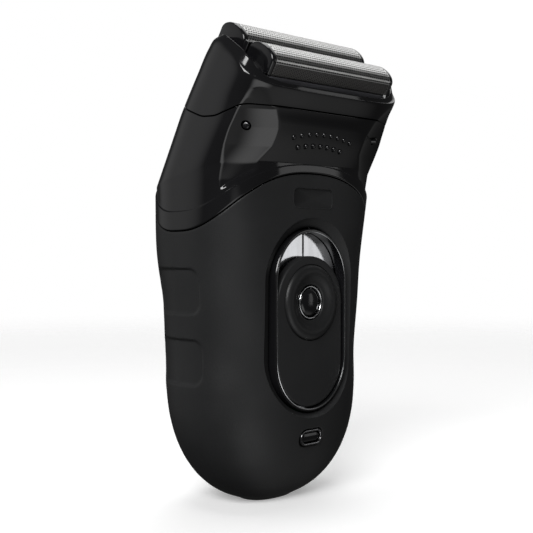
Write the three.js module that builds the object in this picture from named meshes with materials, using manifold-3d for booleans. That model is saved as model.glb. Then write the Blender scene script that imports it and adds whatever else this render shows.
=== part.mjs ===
// Twin-foil cordless shaver. Millimetres, +Z up, the switch side faces -Y.
import * as THREE from 'three';
import { mergeVertices } from 'three/addons/utils/BufferGeometryUtils.js';
import ManifoldModule from 'manifold-3d';

const wasm = await ManifoldModule();
wasm.setup();

// ---- driving dimensions (mm) ----
const WALL = 1.8;            // handle shell
const HEAD_WALL = 2.3;       // gloss head shell
const GAP = 0.3;             // clearance between neighbouring pieces
const SHIFT = [0, 1.31, -0.75]; // puts the box's bottom centre on the origin
const HEAD_TILT = 32.6;      // forward lean of the cutting head, degrees
const HEAD_Y = -17.1;        // point on the crown line between the two foils
const HEAD_Z = 113.3;
const FOIL_PITCH = 11.0;     // between foil centre lines
const FOIL_HALF_W = 4.5;     // arch, across
const FOIL_RISE = 2.6;       // arch, height
const FOIL_SKIRT = 5.4;      // crown to the foil's lower edge
const FOIL_T = 0.35;
const FOIL_HALF_L = 20.6;
const FOIL_FOOT = 7.9;       // crown to the foot of caps and trays
const CAP_T = 1.0;
const POCKET_X = 22.4;       // opening in the foil frame
const POCKET_B = 10.4;
const POCKET_FLOOR = 9.3;    // crown to the ledge the trays rest on
const SLOT_Z = 46.5;         // centre of the switch recess
const SLOT_W = 13.2;
const SLOT_H = 22.8;
const SLIDER_Z = 43.7;       // centre of the slider plate when off
const SLIDER_W = 11.6;
const SLIDER_H = 18.6;
const THUMB_Z = 50.9;        // centre of the thumb dish
const BUTTON_Y = -15.4;
const LED_Z = 17.6;
const LED_Y = -16.2;         // front of the lamp's rim
const BATTERY_R = 7.2;
const BATTERY_Y = 5.0;
const BATTERY_Z0 = 18.9;
const BATTERY_Z1 = 62.4;
const MOTOR_R = 8.0;
const MOTOR_N0 = -46;
const MOTOR_N1 = -25;
const SCREW_X = 5.6;         // motor screws, off centre
const CRANK = 1.2;           // eccentric pin's offset
const PIP = [23.6, -17.4, 92.3]; // tip of a release button, right side
const PIP_R = 0.85;
const DOT_PITCH = 2.53;      // between grip dots
const INLET_Y = 9.6;
const PIN_X = 1.9;
const COVER_W = 15;          // rear cover, half sizes and centre height
const COVER_H = 25.5;
const COVER_Z = 40.5;
const COVER_SCREWS = [[27, 20.05], [60, 21.9]]; // [z, y of the screw head's seat]
const PAD_DEPTH = 0.55;      // finger pads
const PAD_Z = [53.9, 36.9];

const rad = (d) => (d * Math.PI) / 180;
const CT = Math.cos(rad(HEAD_TILT));
const ST = Math.sin(rad(HEAD_TILT));
// head frame: x, b (towards the back), n (out of the foils)
const head = (x, b, n) => [x, HEAD_Y + b * CT - n * ST, HEAD_Z + b * ST + n * CT];
const hy = (b, n) => head(0, b, n)[1];
const hz = (b, n) => head(0, b, n)[2];

// ---- outer form: rows of [key, yFront, zFront, yBack, zBack, halfWidth, nFront, nBack] ----
const egg = (s, p) => (1 - (1 - Math.min(Math.max(s, 0), 1)) ** p) ** (1 / p);
// height above the egg's pole; the lowest ring is widened into a small foot that the handle stands on
const poleHeight = (z) => z - 0.32 + 0.3 * Math.max(0, 1 - (z - 0.75) / 0.6);
function lowerRows() {
  const rows = [0.75, 1.1, 1.6, 2.5, 4, 7, 11, 16, 22, 29, 38].map((z) => {
    const k = poleHeight(z);
    const front = -17.4 * egg(k / 31.3, 2.27);
    const back = 21.2 * egg(k / 41.6, 2.3);
    return [z, front, z, back, z, 26.6 * egg(k / 30.2, 2.26), 2.5, 2.15];
  });
  rows.push([51, -17.0, 51, 22.2, 51, 27.3, 2.9, 2.0]);
  rows.push([64, -17.0, 64, 22.0, 64, 28.2, 3.1, 2.35]);
  rows.push([78, -17.0, 84.7, 21.0, 77.5, 29.3, 4.2, 2.35]);
  return rows;
}
function upperRows() {
  return [
    [78, -17.0, 84.7, 21.0, 77.5, 29.3, 4.2, 2.35],
    [85, -19.4, 89.2, hy(12.9, -32), hz(12.9, -32), 29.0, 4.3, 2.6],
    [92, -21.0, 93, hy(12.9, -24), hz(12.9, -24), 28.5, 4.3, 2.8],
    [98, -22.6, 97, hy(12.9, -15), hz(12.9, -15), 28.2, 4.2, 2.75],
    [103, -24.9, 100.6, hy(12.8, -8.5), hz(12.8, -8.5), 27.8, 4.0, 2.8],
    [105, hy(-12.75, -7.2), hz(-12.75, -7.2), hy(12.4, -5.8), hz(12.4, -5.8), 27.3, 3.9, 2.8],
    [106.3, hy(-12.2, -6.4), hz(-12.2, -6.4), hy(11.6, -4.9), hz(11.6, -4.9), 26.2, 3.8, 2.8],
  ];
}
const LOW = lowerRows();
const UP = upperRows();
const KINK = 78;             // key where the lower and upper rows meet
const TOP = 106.3;           // key of the foil frame's lip
function hermite(rows, col, t) {
  const n = rows.length;
  let i = 0;
  while (i < n - 2 && t > rows[i + 1][0]) i++;
  const slope = (k) => (rows[k + 1][col] - rows[k][col]) / (rows[k + 1][0] - rows[k][0]);
  const tan = (k) => {
    if (k === 0) return slope(0);
    if (k === n - 1) return slope(n - 2);
    const ha = rows[k][0] - rows[k - 1][0];
    const hb = rows[k + 1][0] - rows[k][0];
    return (hb * slope(k - 1) + ha * slope(k)) / (ha + hb);
  };
  const h = rows[i + 1][0] - rows[i][0];
  const u = (t - rows[i][0]) / h;
  const u2 = u * u;
  const u3 = u2 * u;
  return rows[i][col] * (2 * u3 - 3 * u2 + 1) + h * tan(i) * (u3 - 2 * u2 + u)
    + rows[i + 1][col] * (3 * u2 - 2 * u3) + h * tan(i + 1) * (u3 - u2);
}
// the frame's two ends swell up beside the foils
const earLift = (t, phi) => 3.3 * Math.abs(Math.cos(phi)) ** 6 * Math.min(Math.max((t - 98) / 8.3, 0), 1) ** 2;
function skin(t, phi, inset = 0) {
  const rows = t <= KINK ? LOW : UP;
  const [yF, zF, yB, zB, a, nf, nb] = [1, 2, 3, 4, 5, 6, 7].map((c) => hermite(rows, c, t));
  const c = Math.cos(phi);
  const s = Math.sin(phi);
  const n = s < 0 ? nf : nb;
  const len = Math.hypot(yB - yF, zB - zF);
  const e = Math.sign(s) * Math.abs(s) ** (2 / n) * ((len - 2 * inset) / len);
  const lift = earLift(t, phi);
  return [(a - inset) * Math.sign(c) * Math.abs(c) ** (2 / n),
    (yF + yB) / 2 + (e * (yB - yF)) / 2 - lift * ST, (zF + zB) / 2 + (e * (zB - zF)) / 2 + lift * CT];
}

// ---- small geometry kit ----
function loft(rings) {
  const n = rings[0].length;
  const pos = [];
  const idx = [];
  rings.forEach((r) => r.forEach((p) => pos.push(...p)));
  for (let i = 0; i < rings.length - 1; i++) {
    for (let j = 0; j < n; j++) {
      const a = i * n + j;
      const b = i * n + ((j + 1) % n);
      idx.push(a, b, b + n, a, b + n, a + n);
    }
  }
  [0, rings.length - 1].forEach((k, end) => {
    const m = [0, 1, 2].map((q) => rings[k].reduce((s, p) => s + p[q], 0) / n);
    const c = pos.length / 3;
    pos.push(...m);
    for (let j = 0; j < n; j++) {
      const a = k * n + j;
      const b = k * n + ((j + 1) % n);
      if (end === 0) idx.push(c, b, a);
      else idx.push(c, a, b);
    }
  });
  const g = new THREE.BufferGeometry();
  g.setAttribute('position', new THREE.Float32BufferAttribute(pos, 3));
  g.setIndex(idx);
  return solid(g);
}
function solid(geometry) {
  let g = geometry.clone();
  ['normal', 'uv', 'color'].forEach((k) => g.deleteAttribute(k));
  g = mergeVertices(g, 1e-4);
  const make = (index) => new wasm.Manifold(new wasm.Mesh({
    numProp: 3,
    vertProperties: new Float32Array(g.attributes.position.array),
    triVerts: new Uint32Array(index),
  }));
  let m = make(g.index.array);
  if (m.volume() < 0) {
    const flip = Array.from(g.index.array);
    for (let i = 0; i < flip.length; i += 3) [flip[i], flip[i + 1]] = [flip[i + 1], flip[i]];
    m = make(flip);
  }
  return m;
}
// rings in a frame f(u, v, level)
const oval = (w, h, n, e = 2) => Array.from({ length: n }, (_, i) => {
  const c = Math.cos((2 * Math.PI * (i + 0.5)) / n);
  const s = Math.sin((2 * Math.PI * (i + 0.5)) / n);
  return [w * Math.sign(c) * Math.abs(c) ** (2 / e), h * Math.sign(s) * Math.abs(s) ** (2 / e)];
});
function rounded(w, h, r, k = 3) {
  const out = [];
  [[1, 1, 0], [-1, 1, 90], [-1, -1, 180], [1, -1, 270]].forEach(([sx, sy, a0]) => {
    for (let i = 0; i <= k; i++) {
      const a = rad(a0 + (90 * i) / k);
      out.push([sx * (w - r) + r * Math.cos(a), sy * (h - r) + r * Math.sin(a)]);
    }
  });
  return out;
}
const pill = (w, h, k = 8) => rounded(w, h, Math.min(w, h) - 0.005, k);
const place = (pts, map, level, du = 0, dv = 0) => pts.map(([u, v]) => map(u + du, v + dv, level));
const mapZ = (u, v, l) => [u, v, l];             // level along Z
const mapY = (u, v, l) => [u, l, v];             // level along Y, v is Z
const mapH = (u, v, l) => head(u, v, l);         // level along the head's normal
// prism with optional different end profiles
const prism = (pts, map, l0, l1, du = 0, dv = 0, pts2 = pts) =>
  loft([place(pts, map, l0, du, dv), place(pts2, map, l1, du, dv)]);
const box = (map, u0, u1, v0, v1, l0, l1) =>
  prism([[u1, v0], [u1, v1], [u0, v1], [u0, v0]], map, l0, l1);
// polygon in the YZ plane (or XZ) swept straight across
function sweep(points, axis, from, to) {
  const shape = new THREE.Shape(points.map(([u, v]) => new THREE.Vector2(u, v)));
  const g = new THREE.ExtrudeGeometry(shape, { depth: to - from, bevelEnabled: false, steps: 1 });
  const p = g.attributes.position;
  for (let i = 0; i < p.count; i++) {
    const u = p.getX(i);
    const v = p.getY(i);
    const w = p.getZ(i) + from;
    if (axis === 'x') p.setXYZ(i, w, u, v);
    else p.setXYZ(i, u, w, v);
  }
  return solid(g);
}
// turned body about an axis through o along d: profile of [radius, station], closed on the axis or as a ring
function turned(profile, o, d, seg = 20) {
  const pts = profile.map(([r, h]) => new THREE.Vector2(r, h));
  const g = new THREE.LatheGeometry(pts, seg);
  const q = new THREE.Quaternion();
  q.setFromUnitVectors(new THREE.Vector3(0, 1, 0), new THREE.Vector3(...d).normalize());
  g.applyQuaternion(q);
  g.translate(...o);
  g.deleteAttribute('normal');
  g.deleteAttribute('uv');
  const merged = mergeVertices(g, 1e-3);
  const ix = merged.index.array;
  const keep = [];
  for (let i = 0; i < ix.length; i += 3) {
    const [a, b, c] = [ix[i], ix[i + 1], ix[i + 2]];
    if (a !== b && b !== c && a !== c) keep.push(a, b, c);
  }
  merged.setIndex(keep);
  return solid(merged);
}
const rod = (r, o, d, len, seg = 16) => turned([[0, 0], [r, 0], [r, len], [0, len]], o, d, seg);
function coil(r, wire, o, d, len, turns, seg = 10) {
  const D = new THREE.Vector3(...d).normalize();
  const U = new THREE.Vector3(0, 0, 1).cross(D);
  if (U.length() < 0.1) U.set(1, 0, 0);
  U.normalize();
  const V = D.clone().cross(U);
  const pts = [];
  const n = Math.round(turns * seg);
  for (let i = 0; i <= n; i++) {
    const a = (2 * Math.PI * i) / seg;
    pts.push(new THREE.Vector3(...o).addScaledVector(D, wire + ((len - 2 * wire) * i) / n)
      .addScaledVector(U, r * Math.cos(a)).addScaledVector(V, r * Math.sin(a)));
  }
  const shape = new THREE.Shape(Array.from({ length: 5 }, (_, i) => {
    const a = (i * 2 * Math.PI) / 5;
    return new THREE.Vector2(wire * Math.cos(a), wire * Math.sin(a));
  }));
  const extrudePath = new THREE.CatmullRomCurve3(pts);
  return solid(new THREE.ExtrudeGeometry(shape, { steps: n, bevelEnabled: false, extrudePath }));
}

// ---- nodes ----
const group = new THREE.Group();
group.name = 'foil_shaver';
const PAINT = {
  soft_touch: [0x26272a, 0.72, 0], gloss_black: [0x101113, 0.12, 0], smoke: [0x1a1b1e, 0.1, 0],
  foil_steel: [0xb9bbbd, 0.3, 0.95], chrome: [0xd5d7da, 0.12, 1], steel: [0x8e9296, 0.35, 0.9],
  brass: [0xb08d45, 0.35, 0.9], rubber: [0x1b1b1c, 0.9, 0], board: [0x1f5a38, 0.55, 0],
  frame_plastic: [0x3a3c40, 0.6, 0], battery_wrap: [0x2c5f8d, 0.4, 0], lamp: [0xbfe8c8, 0.2, 0],
  motor_can: [0xa3a6aa, 0.3, 0.9], satin: [0x9fa3a8, 0.28, 0.8],
};
function add(name, man, paint) {
  const mesh = man.getMesh();
  const g = new THREE.BufferGeometry();
  g.setAttribute('position', new THREE.Float32BufferAttribute(Float32Array.from(mesh.vertProperties), 3));
  g.setIndex(Array.from(mesh.triVerts));
  g.translate(...SHIFT);
  g.computeVertexNormals();
  const [color, roughness, metalness] = PAINT[paint];
  const node = new THREE.Mesh(g, new THREE.MeshStandardMaterial({ color, roughness, metalness }));
  node.name = name;
  group.add(node);
}

// ---- seams ----
// arched seam between handle and head, its span just wider than the handle
const ARCH_X = 29.6;
const archZ = (x) => 63.6 + 18.7 * Math.max(0, 1 - Math.min(Math.abs(x) / ARCH_X, 1) ** 2.3) ** 0.575;
// the line above it where the scoops end
const ledgeZ = (x) => archZ(x) + 2.4 + 3 * (Math.abs(x) / 28) ** 3;
// seam between head and foil frame, [y, z]
const FRAME_SEAM = [[-40, 96.3], [-24, 96.4], [-19.5, 96.8], [-16, 95.4], [-12.5, 94.3], [-8, 94.5],
  [2.7, 98.6], [14, 104], [30, 111]];
function archBlock(shift, above) {
  const pts = [];
  for (let i = 0; i <= 36; i++) {
    const x = ARCH_X * (i / 18 - 1);
    pts.push([x, archZ(x) + shift]);
  }
  const far = above ? 140 : -20;
  const side = archZ(ARCH_X) + shift;
  return sweep([[-40, side], ...pts, [40, side], [40, far], [-40, far]], 'y', -40, 40);
}
function frameBlock(shift, above) {
  const far = above ? 150 : -20;
  const pts = FRAME_SEAM.map(([y, z]) => [y, z + shift]);
  return sweep([...pts, [30, far], [-40, far]], 'x', -45, 45);
}
// loft keys of every skin
const KEYS = [0.75, 1.3, 2.3, 4, 7, 11, 16, 22, 30, 40, 52, 64, KINK, 84, 90, 95, 99.5, 103, 104.6, 105.6, TOP];
const ringAt = (n, point) => Array.from({ length: n }, (_, j) => point((2 * Math.PI * (j + 0.5)) / n));
function form(inset, from, to, n) {
  const keys = [from, ...KEYS.filter((k) => k > from + 0.3 && k < to - 0.3), to];
  return loft(keys.map((t) => ringAt(n, (phi) => skin(t, phi, inset))));
}
// corner scoop: a tall hollow-ground facet that widens upwards into the flare
const SCOOP_R = 30;
function scoop(side, grow) {
  const nx = -0.505;
  const ny = -0.863;
  const R = SCOOP_R + grow;
  // [z, facet distance from the handle's axis, sideways offset along the facet]
  const stations = [[74, 22.6, 13.5], [80, 22.8, 11.6], [84, 22.95, 8.5], [88, 23.7, 5.4], [92, 25.4, 4.4],
    [96, 27.6, 4.8], [98, 29.2, 6.0], [100, 31.0, 9.0], [102, 33.5, 10.0]];
  return loft(stations.map(([z, d, off]) => Array.from({ length: 48 }, (_, i) => {
    const a = (2 * Math.PI * i) / 48;
    const D = d + SCOOP_R;
    return [-side * (nx * D + ny * off + R * Math.cos(a)), ny * D - nx * off + R * Math.sin(a), z];
  })));
}
function scoopFloor(shift) {
  // block above the tilted shelf that ends the scoops, in the XZ plane
  const pts = [];
  for (let i = 0; i <= 24; i++) {
    const x = -32 + (64 * i) / 24;
    pts.push([x, ledgeZ(x) + 0.6 + shift]);
  }
  return sweep([...pts, [32, 140], [-32, 140]], 'y', -60, 0);
}

function buildShell() {
  const walls = form(0, 0.75, TOP, 48).intersect(archBlock(0, false)).subtract(form(WALL, 3.2, 100, 32));
  let shell = walls;
  // recess with a sloping rim, then the opening for the slider
  const dish = prism(pill(15.5, 24.6), mapY, -18.6, -15.9, 0, 47.1, pill(13.2, 22.7));
  shell = shell.subtract(dish).subtract(prism(pill(SLOT_W, SLOT_H), mapY, -18, -9, 0, SLOT_Z));
  shell = shell.subtract(prism(pill(4.2, 2.2), mapY, -20, -9, 0, LED_Z));
  shell = shell.subtract(prism(rounded(6.0, 4.4, 2.2), mapZ, -5, 14, 0, INLET_Y));
  // shallow finger pads, two each side
  const core = form(PAD_DEPTH, 8, 80, 48);
  for (const side of [-1, 1]) {
    for (const z of PAD_Z) shell = shell.subtract(fingerPad(side, z).subtract(core));
  }
  // blank badge recess
  shell = shell.subtract(prism(rounded(6.9, 2.3, 1.1), mapY, -20, -16.75, 0, 76.4));
  add('body_shell', shell.subtract(coverBlock(0)), 'soft_touch');
  let rear = walls.intersect(coverBlock(GAP));
  for (const [z, y] of COVER_SCREWS) {
    rear = rear.subtract(rod(1.4, [0, y - 8, z], [0, 1, 0], 20, 14));
    rear = rear.subtract(rod(2.4, [0, y - 0.9, z], [0, 1, 0], 20, 18));
  }
  add('rear_cover', rear, 'soft_touch');
}
function coverBlock(shrink) {
  return prism(rounded(COVER_W - shrink, COVER_H - shrink, 7, 5), mapY, 10, 40, 0, COVER_Z);
}
function fingerPad(side, z) {
  const m = (u, v, l) => [side * l, u, v];
  return prism(rounded(9, 5.4, 3, 4), m, 20, 34, 4.2, z);
}

function buildHead() {
  const outer = form(0, 60, TOP, 48);
  const scoops = (grow) => scoop(1, grow).add(scoop(-1, grow)).intersect(scoopFloor(-grow));
  const cavity = form(HEAD_WALL, 50, 101, 32).subtract(scoops(1.6));
  const walls = outer.subtract(cavity).subtract(scoops(0));
  let housing = walls.intersect(archBlock(GAP, true)).intersect(frameBlock(0, false)).add(gripDots());
  for (const s of [-1, 1]) {
    housing = housing.subtract(pipRod(s, PIP_R + GAP, -9, 2)).subtract(pipRod(s, 2.5, -10, -4.0));
  }
  add('head_housing', housing, 'smoke');

  // foil frame: the ring above the seam with its lip, bowl and pocket
  const n = 48;
  const lip = ringAt(n, (phi) => skin(TOP, phi, 0.25));
  const mouth = oval(POCKET_X, POCKET_B, n, 6).map(([x, b]) => head(x, b, -6.6));
  const up = lip.map(([x, y, z]) => [x * 1.02, y - 6 * ST, z + 6 * CT]);
  const bowl = loft([mouth, lip, up]);
  const pocket = prism(rounded(POCKET_X, POCKET_B, 0.8), mapH, -6.9, 4)
    .add(prism(rounded(22.2, 9.4, 1), mapH, -POCKET_FLOOR, -6))
    .add(prism(rounded(21, 10.3, 0.6), mapH, -POCKET_FLOOR, -6))
    .add(prism(rounded(20, 9.6, 1.5), mapH, -40, -9));
  add('foil_frame', walls.intersect(frameBlock(GAP, true)).subtract(bowl).subtract(pocket), 'smoke');
}
function gripDots() {
  let all = null;
  for (const [count, z, y] of [[9, 91.7, -20.2], [7, 89.0, -19.2]]) {
    for (let i = 0; i < count; i++) {
      const x = (i - (count - 1) / 2) * DOT_PITCH;
      const foot = [x, y - 0.05, z - 0.012 * x * x];
      const dot = turned([[0, -0.6], [0.55, -0.6], [0.5, 0.25], [0, 0.55]], foot, [0, -1, 0.15], 6);
      all = all ? all.add(dot) : dot;
    }
  }
  return all;
}
const pipAxis = (side) => [0.8 * side, -0.6, 0];
const pipPoint = (side, s) => [side * (PIP[0] + 0.8 * s), PIP[1] - 0.6 * s, PIP[2]];
function pipRod(side, r, s0, s1) {
  return rod(r, pipPoint(side, s0), pipAxis(side), s1 - s0, 16);
}
function buildReleaseButtons() {
  for (const [side, tag] of [[-1, 'left'], [1, 'right']]) {
    const profile = [[0, -5.0], [2.1, -5.0], [2.1, -4.3], [PIP_R, -4.3], [PIP_R, -0.35], [0.6, -0.1], [0, 0]];
    add(`release_button_${tag}`, turned(profile, pipPoint(side, 0), pipAxis(side), 16), 'gloss_black');
    add(`release_spring_${tag}`, coil(1.25, 0.16, pipPoint(side, -7.2), pipAxis(side), 2.0, 3), 'steel');
  }
}

// ---- cutting head ----
function archProfile(half, rise, skirt, k = 10) {
  const pts = [[half, -skirt]];
  for (let i = 0; i <= k; i++) {
    const a = rad(90 - (180 * i) / k);
    pts.push([half * Math.sin(a), -rise + rise * Math.cos(a)]);
  }
  pts.push([-half, -skirt]);
  return pts;
}
// sweeps a (b, n) polygon along x inside the head
function along(points, b0, x0, x1) {
  const shape = new THREE.Shape(points.map(([u, v]) => new THREE.Vector2(u, v)));
  const g = new THREE.ExtrudeGeometry(shape, { depth: x1 - x0, bevelEnabled: false, steps: 1 });
  const p = g.attributes.position;
  for (let i = 0; i < p.count; i++) p.setXYZ(i, ...head(p.getZ(i) + x0, p.getX(i) + b0, p.getY(i)));
  return solid(g);
}
function buildFoils() {
  for (const [tag, b0] of [['front', -FOIL_PITCH / 2], ['rear', FOIL_PITCH / 2]]) {
    const outer = archProfile(FOIL_HALF_W, FOIL_RISE, FOIL_SKIRT, 14);
    const inner = archProfile(FOIL_HALF_W - FOIL_T, FOIL_RISE - FOIL_T, FOIL_SKIRT - FOIL_T, 14)
      .map(([b, n]) => [b, n - FOIL_T]).reverse();
    add(`foil_${tag}`, along([...outer, ...inner], b0, -FOIL_HALF_L, FOIL_HALF_L), 'foil_steel');
    for (const [side, hand] of [[-1, 'left'], [1, 'right']]) {
      const near = side < 0 ? -FOIL_HALF_L - GAP - CAP_T : FOIL_HALF_L + GAP;
      const top = archProfile(FOIL_HALF_W, FOIL_RISE, FOIL_SKIRT, 12);
      const foot = 3.4;
      const outline = [[foot, -FOIL_FOOT], [foot, -FOIL_SKIRT], ...top, [-foot, -FOIL_SKIRT],
        [-foot, -FOIL_FOOT]];
      add(`foil_cap_${tag}_${hand}`, along(outline, b0, near, near + CAP_T), 'gloss_black');
    }
    const ring = prism(rounded(FOIL_HALF_L, FOIL_HALF_W, 0.6), mapH, -FOIL_FOOT, -5.7, 0, b0);
    const hole = prism(rounded(FOIL_HALF_L - 0.9, 4.1, 0.3), mapH, -9, -5, 0, b0);
    add(`foil_tray_${tag}`, ring.subtract(hole), 'frame_plastic');
  }
}
const GUARD_HALF = 0.7;
function buildGuard() {
  add('centre_guard', box(mapH, -19.2, 19.2, -GUARD_HALF, GUARD_HALF, -2.6, -2.1), 'foil_steel');
  // bar that carries the strip between the foils, its ends raised into wedges
  const bar = box(mapH, -22.1, 22.1, -GUARD_HALF, GUARD_HALF, -8.6, -1.6);
  add('guard_bar', bar.subtract(box(mapH, -19.5, 19.5, -1, 1, -2.9, -1)), 'gloss_black');
}
function buildCutters() {
  for (const [tag, b0] of [['front', -FOIL_PITCH / 2], ['rear', FOIL_PITCH / 2]]) {
    const half = FOIL_HALF_W - FOIL_T - 0.35;
    const rise = FOIL_RISE - FOIL_T - GAP;
    const profile = archProfile(half, rise, 4.6, 10).map(([b, n]) => [b, n - FOIL_T - GAP]);
    let cutter = along(profile, b0, -17.4, 17.4);
    for (let i = 0; i < 9; i++) {
      const x = -14.4 + i * 3.6;
      cutter = cutter.subtract(box(mapH, x - 0.8, x + 0.8, b0 - 5, b0 + 5, -4.1, 1));
    }
    add(`cutter_${tag}`, cutter, 'steel');
    const socket = prism(oval(1.75, 1.75, 16), mapH, -10, -6.6, 0, b0);
    const carrier = prism(rounded(8, 2.8, 0.8), mapH, -9.4, -5.6, 0, b0).subtract(socket);
    add(`cutter_carrier_${tag}`, carrier, 'frame_plastic');
    add(`cutter_spring_${tag}`, coil(2.3, 0.22, head(0, b0, -11.7), [0, -ST, CT], 2.0, 3), 'steel');
  }
}
function buildDrive() {
  // swinging bridge with two posts and the crank's yoke
  let bridge = prism(rounded(11, 8.3, 2), mapH, -13.4, -12.0);
  for (const b0 of [-FOIL_PITCH / 2, FOIL_PITCH / 2]) {
    bridge = bridge.add(prism(oval(1.4, 1.4, 16), mapH, -12.6, -8.2, 0, b0));
  }
  for (const x of [-4.6, 3.4]) bridge = bridge.add(box(mapH, x, x + 1.2, -2.6, 2.6, -17.0, -12.9));
  add('drive_bridge', bridge, 'frame_plastic');
  const sealHole = prism(rounded(6.4, 4.2, 1.5), mapH, -20, -16.6);
  add('drive_seal', prism(rounded(18.2, 8.4, 3), mapH, -19.0, -17.8).subtract(sealHole), 'rubber');
  // crank on the motor's shaft
  let crank = prism(oval(1.15, 1.15, 16), mapH, -26.6, -21.4);
  crank = crank.add(prism(oval(3.1, 3.1, 24), mapH, -21.9, -20.1));
  crank = crank.add(prism(oval(0.8, 0.8, 14), mapH, -20.6, -14.6, 0, CRANK));
  add('motor_crank', crank, 'steel');
  let plate = prism(rounded(20.5, 8.5, 3), mapH, -24.4, -22.8);
  plate = plate.subtract(prism(oval(3.4, 3.4, 24), mapH, -26, -21));
  let motor = prism(oval(MOTOR_R, MOTOR_R, 32), mapH, MOTOR_N0, MOTOR_N1);
  motor = motor.subtract(prism(oval(1.5, 1.5, 16), mapH, -28, -24));
  for (const s of [-1, 1]) {
    const x = s * SCREW_X;
    plate = plate.subtract(prism(oval(1.1, 1.1, 14), mapH, -26, -21, x, 0));
    motor = motor.subtract(prism(oval(1.1, 1.1, 14), mapH, -28.6, -24, x, 0));
    const profile = [[0, 0], [0.8, 0], [0.8, 5.5], [1.7, 5.5], [1.7, 6.4], [1.3, 6.7], [0, 6.7]];
    const slot = box(mapH, x - 1.3, x + 1.3, -0.25, 0.25, -21.9, -20.5);
    const screw = turned(profile, head(x, 0, -28), [0, -ST, CT], 14).subtract(slot);
    add(`motor_screw_${s < 0 ? 'left' : 'right'}`, screw, 'steel');
  }
  add('motor_plate', plate, 'frame_plastic');
  add('motor', motor, 'motor_can');
}

// ---- switch ----
function buildSwitch() {
  const bezelHole = prism(pill(12.1, 21.7), mapY, -18, -12, 0, SLOT_Z);
  add('switch_bezel', prism(pill(12.9, 22.5), mapY, -16.3, -13.6, 0, SLOT_Z).subtract(bezelHole), 'chrome');
  const track = prism(pill(12.8, 22.4), mapY, -13.3, -12.2, 0, SLOT_Z)
    .subtract(box(mapY, -1.5, 1.5, 35.4, 46.2, -14, -11.5))
    .subtract(box(mapY, -0.3, 0.3, 61.8, 67.4, -14, -13.0));
  add('slider_track', track, 'satin');
  const edge = 0.4;
  const face = pill(SLIDER_W, SLIDER_H);
  let slider = prism(pill(SLIDER_W - edge, SLIDER_H - edge), mapY, -16.05, -15.65, 0, SLIDER_Z, face);
  slider = slider.add(prism(face, mapY, -15.65, -13.9, 0, SLIDER_Z));
  slider = slider.subtract(rod(9.5, [0, -17, THUMB_Z], [0, 1, 0], 2.2, 32));
  slider = slider.subtract(rod(4.35, [0, -17, THUMB_Z], [0, 1, 0], 5, 24));
  slider = slider.add(box(mapY, -1.1, 1.1, 36, 40, -14.1, -11.2));
  add('power_slider', slider, 'soft_touch');
  const ring = [[4.4, 0], [4.4, 0.9], [5.3, 1.15], [6.5, 1.75], [7.5, 2.0], [8.5, 1.8], [9.2, 1.1], [9.2, 0],
    [4.4, 0]];
  add('thumb_ring', turned(ring, [0, -15.1, THUMB_Z], [0, -1, 0], 36), 'rubber');
  const centre = [0, BUTTON_Y, THUMB_Z];
  const dome = [[0, -0.6], [2.4, -0.6], [2.4, -1.2], [3.35, -1.2], [3.35, 0.55], [2.9, 0.9], [1.6, 1.15],
    [0, 1.2]];
  add('lock_button', turned(dome, centre, [0, -1, 0], 28), 'gloss_black');
  const rim = [[3.55, -0.9], [4.05, -0.9], [4.05, 0.7], [3.55, 0.7], [3.55, -0.9]];
  add('lock_button_rim', turned(rim, centre, [0, -1, 0], 32), 'chrome');
  add('lock_spring', coil(1.6, 0.15, [0, -13.65, THUMB_Z], [0, -1, 0], 1.1, 2.5), 'steel');
  add('switch_wiper', box(mapY, -0.9, 0.9, 36.4, 39.6, -10.95, -10.7), 'brass');
}

function buildIndicator() {
  const hole = prism(pill(3.35, 1.35, 6), mapY, -18, -12, 0, LED_Z);
  add('led_bezel', prism(pill(3.9, 1.9, 6), mapY, LED_Y, -13.2, 0, LED_Z).subtract(hole), 'chrome');
  add('led_window', prism(pill(3.05, 1.05, 6), mapY, LED_Y + 0.35, -13.2, 0, LED_Z), 'gloss_black');
  add('status_led', prism(oval(1.2, 0.9, 14), mapY, -12.9, -10.7, 0, LED_Z), 'lamp');
}

// ---- inside the handle ----
function buildCore() {
  add('circuit_board', box(mapY, -10.2, 10.2, 14, 62, -10.4, -9.0), 'board');
  let chassis = box(mapY, -7.2, 7.2, 15.2, 66.6, 13.0, 14.2);
  for (const z of [15.2, 65.3]) chassis = chassis.add(box(mapY, -7.2, 7.2, z, z + 1.3, -4, 13.5));
  for (const [z, y] of COVER_SCREWS) {
    chassis = chassis.add(rod(2.6, [0, 13.6, z], [0, 1, 0], y - 2.4 - 13.6, 18));
    chassis = chassis.subtract(rod(1.4, [0, 12.5, z], [0, 1, 0], 12, 14));
  }
  add('chassis', chassis, 'frame_plastic');
  COVER_SCREWS.forEach(([z, y], i) => {
    const profile = [[0, -5], [1.05, -5], [1.05, -0.55], [2.05, -0.55], [2.05, 0], [1.7, 0.2], [0, 0.2]];
    const slot = box(mapY, -1.6, 1.6, z - 0.25, z + 0.25, y - 0.3, y + 2);
    add(`cover_screw_${i + 1}`, turned(profile, [0, y - 0.1, z], [0, 1, 0], 16).subtract(slot), 'steel');
  });
  const end = BATTERY_Z1 - 0.9;
  const cell = [[0, BATTERY_Z0], [BATTERY_R - 0.4, BATTERY_Z0], [BATTERY_R, BATTERY_Z0 + 0.5],
    [BATTERY_R, end - 0.6], [BATTERY_R - 0.6, end], [2.6, end], [2.6, BATTERY_Z1], [0, BATTERY_Z1]];
  add('battery', turned(cell, [0, BATTERY_Y, 0], [0, 0, 1], 28), 'battery_wrap');
  add('battery_contact_lower', contact(16.8, [[0, 17.2], [2.4, 17.2], [1.6, 18.6], [0, 18.6]]), 'brass');
  add('battery_contact_upper', contact(64.2, [[0, 62.7], [1.4, 62.7], [2.0, 64.3], [0, 64.3]]), 'brass');
}
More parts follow.
